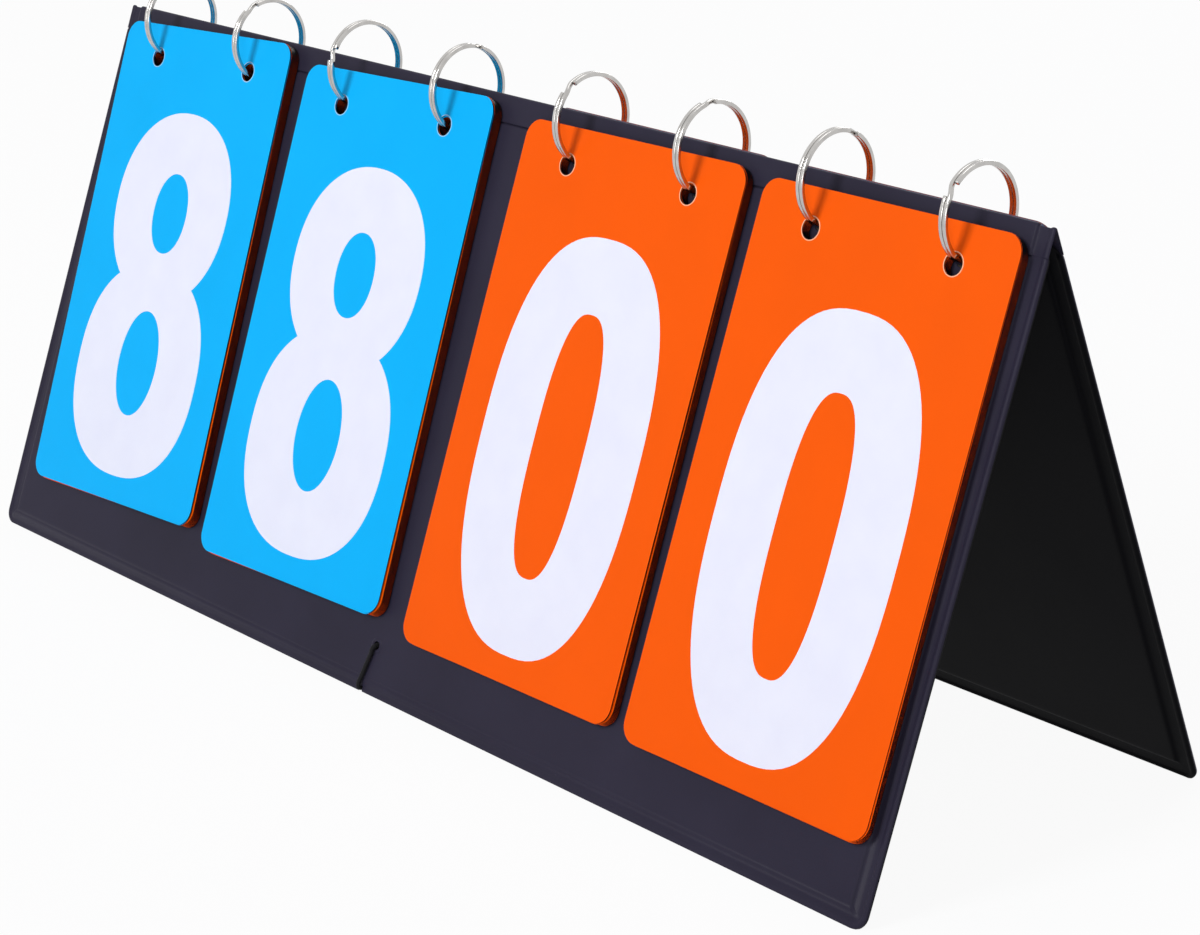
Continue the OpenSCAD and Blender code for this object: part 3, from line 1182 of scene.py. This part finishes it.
@dataclass(frozen=True)
class Print:
    """One digit printed on one face of a card."""

    name: str
    body: str
    place: CardPlace
    digit: Digit
    on_back: bool
    ink: bpy.types.Material
    relief: float = 0.014

    def build(self) -> bpy.types.Object:
        """Build the thin layer of ink."""
        flat, faces = DigitShape(self.digit).filled()
        mirror = -1.0 if self.on_back else 1.0
        base = 0.0 if self.on_back else SIZES.card_t
        levels = (base - mirror * 0.01, base + mirror * self.relief)
        points = [self.place.at(mirror * x, SIZES.hole_drop - y, level) for level in levels for x, y in flat]
        count = len(flat)
        borders: dict[tuple[int, int], int] = {}
        for face in faces:
            for index, corner in enumerate(face):
                edge = (corner, face[(index + 1) % len(face)])
                borders[edge] = 1
        walls = [(a, b, b + count, a + count) for a, b in borders if (b, a) not in borders]
        low = [tuple(reversed(face)) for face in faces]
        high = [tuple(corner + count for corner in face) for face in faces]
        piece = make_piece(self.name, points, [*low, *high, *walls], self.ink)
        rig.ride(piece, self.body)
        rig.slot(piece, "blue_card")
        return piece


@dataclass(frozen=True)
class PunchRims:
    """Low raised hoops round a card's two punched holes, pale in colour as a painted highlight."""

    name: str
    body: str
    place: CardPlace
    material: bpy.types.Material
    width: float = 0.34
    relief: float = 0.05
    steps: int = 40

    def build(self) -> bpy.types.Object:
        """Build both hoops, low and rounded."""
        shell = Shell()
        shape = ((0.0, -0.02), (0.0, 0.02), (0.3, self.relief), (0.75, 0.02), (1.0, -0.02))
        profile = [(share * self.width, lift) for share, lift in shape]
        for half in (-0.5, 0.5):
            def place(x: float, y: float, lift: float) -> Vector:
                """Return a place round this hole."""
                return self.place.at(half * SIZES.hole_pitch + x, y, SIZES.card_t + lift)

            shell.add(hoop(place, SIZES.hole_d / 2, profile, self.steps), True)
        piece = make_piece(self.name, shell.points, shell.faces, self.material)
        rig.ride(piece, self.body)
        return piece


@dataclass
class CardStack:
    """The cards of one stack, on both sides of the ridge."""

    index: int
    finishes: Finishes
    front_digit: Digit
    turned_digit: Digit
    sizes: Sizes = SIZES

    @property
    def number(self) -> int:
        """The number that the stack's pieces are named by."""
        return self.index + 1

    def build(self) -> list[bpy.types.Object]:
        """Dress the cards and print their digits."""
        size, number, index = self.sizes, self.number, self.index
        run = "blue" if index < 2 else "orange"
        tints = {
            f"shown_card_{number}": (Side.FRONT, run),
            f"next_card_{number}": (Side.FRONT, run),
            f"front_pack_{number}": (Side.FRONT, "orange"),
            f"rear_face_card_{number}": (Side.REAR, run),
            f"rear_pack_{number}": (Side.REAR, "blue"),
        }
        for node, (side, tint) in tints.items():
            dress_node(node, self.finishes.card(side, tint))
        count, behind = size.front_cards[index], size.rear_cards[index]
        shown = CardPlace(Side.FRONT, index, size.card_z(count - 1) + size.show_gap, size.shown_skew[index])
        following = CardPlace(Side.FRONT, index, size.card_z(count - 2), size.next_skew[index])
        pack = CardPlace(Side.FRONT, index, size.card_z(0), size.pack_skew[index])
        rear = CardPlace(Side.REAR, index, size.card_z(behind - 1))
        rear_low = CardPlace(Side.REAR, index, size.card_z(0))
        words = ("shown_card", "front_cards", "rear_cards")
        shown_body, front_body, rear_body = (f"{word}_{number}" for word in words)
        prints = [
            ("shown_face", shown_body, shown, self.front_digit, False),
            ("shown_back", shown_body, shown, self.turned_digit, True),
            ("next_face", front_body, following, self.turned_digit, False),
            ("pack_back", front_body, pack, Digit.NINE, True),
            ("rear_face", rear_body, rear, self.front_digit, False),
            ("rear_back", rear_body, rear_low, Digit.ONE, True),
        ]
        made = [Print(f"digit_{word}_{number}", body, place, digit, back, self.finishes.ink).build()
                for word, body, place, digit, back in prints]
        # Pale hoops on the shown and rear cards: a painted highlight round the holes.
        for word, body, place in (("shown", shown_body, shown), ("rear", rear_body, rear)):
            rims = PunchRims(f"punch_rims_{word}_{number}", body, place, self.finishes.rims[run]).build()
            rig.slot(rims, f"{run}_card")
            made.append(rims)
        return made


@dataclass
class SplitRing:
    """One split ring: two turns of wire joined by a cross-over."""

    index: int
    metal: bpy.types.Material
    sizes: Sizes = SIZES
    steps: int = 190
    round_off: float = 0.3
    taper: tuple[Point2, ...] = ((1.0, 0.0), (0.93, 0.09), (0.72, 0.13))

    def build(self) -> bpy.types.Object:
        """Build the ring's wire in one sweep."""
        size = self.sizes
        stack, odd = divmod(self.index, 2)
        x = size.stack_x[stack] + (-0.5 if odd == 0 else 0.5) * size.hole_pitch
        half = math.radians(size.joggle_half)
        total = 4 * math.pi - 2 * half
        side = (size.wire_w + size.turn_gap) / 2
        start = math.radians(size.joggle_at[self.index])
        outline = rounded_box(size.wire_h / 2, -size.wire_w / 2, size.wire_w / 2, self.round_off, 3)
        rings = []
        for step in range(-2, self.steps + 3):
            share = min(max(step, 0), self.steps) / self.steps
            past = max(-step, step - self.steps, 0)
            turn = half + share * total
            small, reach = self.taper[past]
            turn += math.copysign(reach / size.ring_r, step - self.steps / 2)
            across = min(max((turn - 2 * math.pi + half) / (2 * half), 0.0), 1.0)
            aside = side * (2 * across * across * (3 - 2 * across) - 1)
            angle = turn + start
            ring = []
            for high, wide in outline:
                radius = size.ring_r + high * small
                ring.append(Vector((x + aside + wide * small, radius * math.cos(angle),
                                    size.ridge_z - size.ring_drop + radius * math.sin(angle))) * MM)
            rings.append(ring)
        points, faces = sweep_rings(rings, False)
        piece = make_piece(f"ring_wire_{self.index + 1}", points, faces, self.metal, 40.0)
        body = f"turn_ring_{stack + 1}" if odd == 0 else f"free_ring_{stack + 1}"
        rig.ride(piece, body)
        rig.replaces(piece, f"split_ring_{self.index + 1}")
        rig.slot(piece, "nickel_steel")
        return piece


@dataclass
class Tether:
    """The cord that keeps the tent from opening, with its knot."""

    cord: bpy.types.Material
    sizes: Sizes = SIZES
    sides: int = 14
    strands: int = 4
    pitch: float = 3.4
    weave_depth: float = 0.13
    folded: float = 0.012
    upper_drop: float = 0.9
    into_hole: tuple[Point2, ...] = ((-1.55, -0.3), (0.25, 0.3))
    out_of_hole: tuple[tuple[float, float, float], ...] = ((-0.1, 1.55, 0.4), (-0.3, 2.35, -0.3))
    run_ends: float = 2.5
    run_lift: float = 0.1
    floor_gap: float = 0.05
    round_foot: tuple[Point2, ...] = ((0.1, 1.4), (0.8, 0.8))
    foot_reach: float = 2.2
    knot_share: float = 0.64
    knot_steps: int = 48
    knot_size: float = 0.62
    knot_swell: float = 0.3
    knot_thin: float = 0.84
    knot_folded: float = 0.03

    def build(self) -> list[bpy.types.Object]:
        """Build the two runs outside the panels, the two spans between them and the knot."""
        upper, outside, lower = self._routes()
        knot = self._knot(upper[0].z, upper[-1].y)
        made = []
        for side in Side:
            route = [Vector((point.x, side.value * point.y, point.z)) for point in outside]
            piece = self._tube(f"tether_{side.word}_run", route)
            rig.ride(piece, side.body)
            made.append(piece)
        for word, half, on_it in (("upper", upper, [knot]), ("lower", lower, [])):
            route = [Vector((point.x, -point.y, point.z)) for point in reversed(half)]
            route += [Vector((point.x, point.y, point.z)) for point in half[1:]]
            made.append(self._span(f"tether_{word}_span", route, on_it))
        for piece in made:
            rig.replaces(piece, "tether_cord")
            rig.slot(piece, "black_cord")
        return [*made, knot]

    def _span(
        self, name: str, route: Sequence[Vector], on_it: Sequence[bpy.types.Object]
    ) -> bpy.types.Object:
        """Return one span between the panels, declared as a cord that closes up as they fold.

        Args:
            name: The piece's name.
            route: The points that it passes from the front panel to the rear one, in metres.
            on_it: The pieces that are tied in it.

        Returns:
            The span.
        """
        piece = self._tube(name, route)
        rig.ride(piece, "front_panel")
        line = smooth_line(route, 2.0 * MM, False)
        length = sum((after - before).length for before, after in zip(line, line[1:]))
        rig.cord(piece, exit=line[0], length=length, diameter=self.sizes.cord_d * MM, far_end="object",
                stiffness="limp", lay="taut", path=line, with_pieces=on_it)
        LOG.info("%s: %.1f mm long", name, length / MM)
        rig.squash(piece, "panel_fold", axis=(0, 1, 0), anchor=(0, route[0].y, 0), keep=self.folded)
        return piece

    def _routes(self) -> tuple[list[Vector], list[Vector], list[Vector]]:
        """Return the rear halves of the cord's route, in metres.

        Returns:
            The upper span from its middle to the hole, the run outside, and the lower span from its middle.
        """
        size = self.sizes
        hole = Side.REAR.at(0.0, size.tether_drop, size.mid) / MM
        foot = Side.REAR.at(0.0, size.panel_h, 0.0).y / MM
        lift = size.cord_d / 2 + self.floor_gap
        upper = [Vector((0, part * hole.y, hole.z - self.upper_drop)) for part in (0, 0.25, 0.5, 0.75, 0.9)]
        upper += [Vector((0, hole.y + out, hole.z + rise)) for out, rise in self.into_hole]
        outside = [upper[-1]]
        outside += [Vector((x, hole.y + out, hole.z + rise)) for x, out, rise in self.out_of_hole]
        for part in (0, 0.25, 0.5, 0.75, 1):
            down = (size.tether_drop + self.run_ends) * (1 - part) + (size.panel_h - self.run_ends) * part
            x = size.notch_x * (0.25 + 0.75 * part)
            outside.append(Side.REAR.at(x, down, size.cord_d / 2 + self.run_lift) / MM)
        round_foot = (*self.round_foot, (self.foot_reach, lift))
        outside += [Vector((size.notch_x, foot - back, z)) for back, z in round_foot]
        lower = [Vector((size.notch_x, part * foot, lift)) for part in (0, 0.15, 0.35, 0.55, 0.75, 0.9)]
        lower.append(outside[-1])
        return tuple([point * MM for point in route] for route in (upper, outside, lower))

    def _tube(
        self, name: str, route: Sequence[Vector], closed: bool = False, thin: float = 1.0
    ) -> bpy.types.Object:
        """Return a braided tube along a route.

        Args:
            name: The piece's name.
            route: The points that it passes, in metres.
            closed: Whether it closes on itself.
            thin: A factor on its thickness.

        Returns:
            The tube, with its ends closed by rounded caps.
        """
        line = smooth_line(route, 0.28 * MM, closed)
        radius = self.sizes.cord_d / 2 * MM * thin
        rings = []
        length = 0.0
        across = Vector((1, 0, 0))
        count = len(line)
        for index, point in enumerate(line):
            before = line[index - 1] if index or closed else point
            after = line[(index + 1) % count] if index + 1 < count or closed else point
            along = (after - before).normalized()
            across = (across - along * across.dot(along)).normalized()
            up = along.cross(across)
            length += (point - before).length
            phase = 2 * math.pi * length / (self.pitch * MM)
            ring = []
            for turn in turns(self.sides):
                right, left = (math.sin(self.strands / 2 * (turn + way * phase)) for way in (1, -1))
                reach = radius * (1.0 - self.weave_depth * (1 - abs(right * left)))
                ring.append(point + reach * (math.cos(turn) * across + math.sin(turn) * up))
            rings.append(ring)
        points, faces = sweep_rings(rings, closed)
        return make_piece(name, points, faces, self.cord, 60.0)

    def _knot(self, height: float, reach: float) -> bpy.types.Object:
        """Return the overhand knot on the upper span.

        Args:
            height: Height of the span in metres.
            reach: Distance from the middle to the hole in metres.

        Returns:
            The knot.
        """
        middle = Vector((0, -self.knot_share * reach, height))
        route = []
        for turn in turns(self.knot_steps):
            swing = self.knot_size + self.knot_swell * math.cos(3 * turn)
            route.append(middle + Vector((swing * math.cos(2 * turn), self.knot_size * math.sin(3 * turn),
                                          swing * math.sin(2 * turn))) * MM)
        piece = self._tube("tether_knot_wrap", route, True, self.knot_thin)
        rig.ride(piece, "front_panel")
        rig.squash(piece, "panel_fold", axis=(0, 1, 0), anchor=(0, -reach, 0), keep=self.knot_folded)
        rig.replaces(piece, "tether_knot")
        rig.slot(piece, "black_cord")
        return piece


def smooth_line(route: Sequence[Vector], step: float, closed: bool) -> list[Vector]:
    """Return even points on a smooth line through a route.

    Args:
        route: The points that the line passes.
        step: The space between two new points.
        closed: Whether the line closes on itself.

    Returns:
        The new points.
    """
    count = len(route)
    line: list[Vector] = []
    for index in range(count if closed else count - 1):
        p1, p2 = route[index], route[(index + 1) % count]
        p0 = route[index - 1] if index or closed else p1 * 2 - p2
        p3 = route[(index + 2) % count] if index + 2 < count or closed else p2 * 2 - p1
        pieces = max(1, round((p2 - p1).length / step))
        for part in range(pieces):
            t = part / pieces
            line.append(0.5 * ((2 * p1) + (p2 - p0) * t + (2 * p0 - 5 * p1 + 4 * p2 - p3) * t * t
                               + (3 * p1 - p0 - 3 * p2 + p3) * t ** 3))
    if not closed:
        line.append(route[-1].copy())
    return line


def dress_node(node: str, material: bpy.types.Material) -> None:
    """Give a frame node its material.

    Args:
        node: The node's name.
        material: The material that it takes.
    """
    mesh = frame["nodes"][node].data
    mesh.materials.clear()
    mesh.materials.append(material)


@dataclass(frozen=True)
class Lamp:
    """A soft square lamp that looks at the object, in metres and watts."""

    name: str
    place: tuple[float, float, float]
    size: float
    power: float

    def build(self) -> None:
        """Add the lamp to the scene."""
        data = bpy.data.lights.new(self.name, "AREA")
        data.shape, data.size, data.energy = "SQUARE", self.size, self.power
        made = bpy.data.objects.new(self.name, data)
        made.location = self.place
        aim = Vector((0.0, 0.0, 0.08)) - Vector(self.place)
        made.rotation_mode = "QUATERNION"
        made.rotation_quaternion = aim.to_track_quat("-Z", "Y")
        bpy.context.scene.collection.objects.link(made)


@dataclass
class Studio:
    """The floor, the light and the camera."""

    lens: float = 94.1125
    place: tuple[float, float, float] = (0.642573, -0.519879, 0.340203)
    right: tuple[float, float, float] = (0.65233799, 0.75763355, -0.02113178)
    down: tuple[float, float, float] = (0.23808166, -0.23130355, -0.94330048)
    ahead: tuple[float, float, float] = (-0.71956395, 0.61031965, -0.33126674)
    ambient: float = 0.17
    sky: Colour = (0.93, 0.95, 1.0, 1.0)
    floor_glow: float = 0.94
    floor_half: float = 4.0
    lamps: tuple[Lamp, ...] = (
        Lamp("key", (-0.15, -1.6, 1.2), 0.55, 22.0),
        Lamp("side", (-1.5, -1.3, 0.4), 0.6, 0.3),
        Lamp("fill", (1.3, -1.5, 0.3), 0.5, 6.0),
        Lamp("inside", (0.9, -0.3, 0.05), 0.3, 0.4),
        Lamp("top", (-0.1, 0.3, 1.7), 0.8, 5.0),
        Lamp("back", (-0.5, 1.7, 1.1), 0.8, 11.0),
    )

    def build(self) -> None:
        """Make everything that isn't part of the object."""
        self._camera()
        self._floor()
        self._world()
        for lamp in self.lamps:
            lamp.build()

    def _camera(self) -> None:
        """Put the camera where the photograph was taken from."""
        data = bpy.data.cameras.new("camera")
        data.lens, data.sensor_width = self.lens, 36.0
        data.clip_start, data.clip_end = 0.05, 20.0
        made = bpy.data.objects.new("camera", data)
        up, back = ([-part for part in axis] for axis in (self.down, self.ahead))
        axes = Matrix((self.right, up, back)).transposed()
        made.matrix_world = Matrix.Translation(self.place) @ axes.to_4x4()
        bpy.context.scene.collection.objects.link(made)
        bpy.context.scene.camera = made

    def _floor(self) -> None:
        """Make the plain pale floor."""
        graph = Graph("pale_floor")
        matt = graph.node("ShaderNodeBsdfDiffuse", {}, {"Color": (0.8, 0.8, 0.84, 1.0), "Roughness": 0.5})
        glow = graph.node("ShaderNodeEmission", {}, {"Color": (1, 1, 1, 1), "Strength": 1.0})
        seen = graph.background_share() * self.floor_glow
        both = graph.node("ShaderNodeMixShader", {}, {0: seen, 1: graph.wire(matt), 2: graph.wire(glow)})
        graph.node("ShaderNodeOutputMaterial", {}, {"Surface": graph.wire(both)})
        half = self.floor_half
        corners = [Vector((x * half, y * half, 0.0)) for x, y in ((-1, -1), (1, -1), (1, 1), (-1, 1))]
        floor = make_piece("floor", corners, [(0, 1, 2, 3)], graph.owner)
        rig.stage(floor)

    def _world(self) -> None:
        """Light the scene softly from all round, with a white background."""
        graph = Graph("studio", bpy.data.worlds)
        soft = graph.node("ShaderNodeBackground", {}, {"Color": self.sky, "Strength": self.ambient})
        white = graph.node("ShaderNodeBackground", {}, {"Color": (1, 1, 1, 1), "Strength": 1.0})
        both = graph.node("ShaderNodeMixShader", {},
                          {0: graph.background_share(), 1: graph.wire(soft), 2: graph.wire(white)})
        graph.node("ShaderNodeOutputWorld", {}, {"Surface": graph.wire(both)})
        bpy.context.scene.world = graph.owner


def main() -> None:
    """Build the scene in order and report each piece."""
    logging.basicConfig(level=logging.INFO, format="%(name)s: %(message)s")
    bpy.context.scene.view_settings.view_transform = "Standard"
    Studio().build()
    finishes = Finishes()
    made = Tether(finishes.cord).build()
    for side in Side:
        dress_node(f"{side.word}_board", finishes.board)
        made += PanelSkins(side, finishes.vinyl, finishes.lining).build()
    made.append(Spine(finishes.vinyl).build())
    digits = [(Digit.EIGHT, Digit.NINE)] * 2 + [(Digit.ZERO, Digit.ONE)] * 2
    for index, (front, turned) in enumerate(digits):
        made += CardStack(index, finishes, front, turned).build()
    for index in range(len(SIZES.joggle_at)):
        made.append(SplitRing(index, finishes.metal).build())
    for piece in made:
        LOG.info("%s: %d faces", piece.name, len(piece.data.polygons))


if __name__ == "__main__":
    main()
    low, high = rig.bounds()
    with open(SIZE_FILE, "w") as size_file:
        json.dump({"cad": [list(CAD_LOW), list(CAD_HIGH)], "visual": [list(low), list(high)]}, size_file)
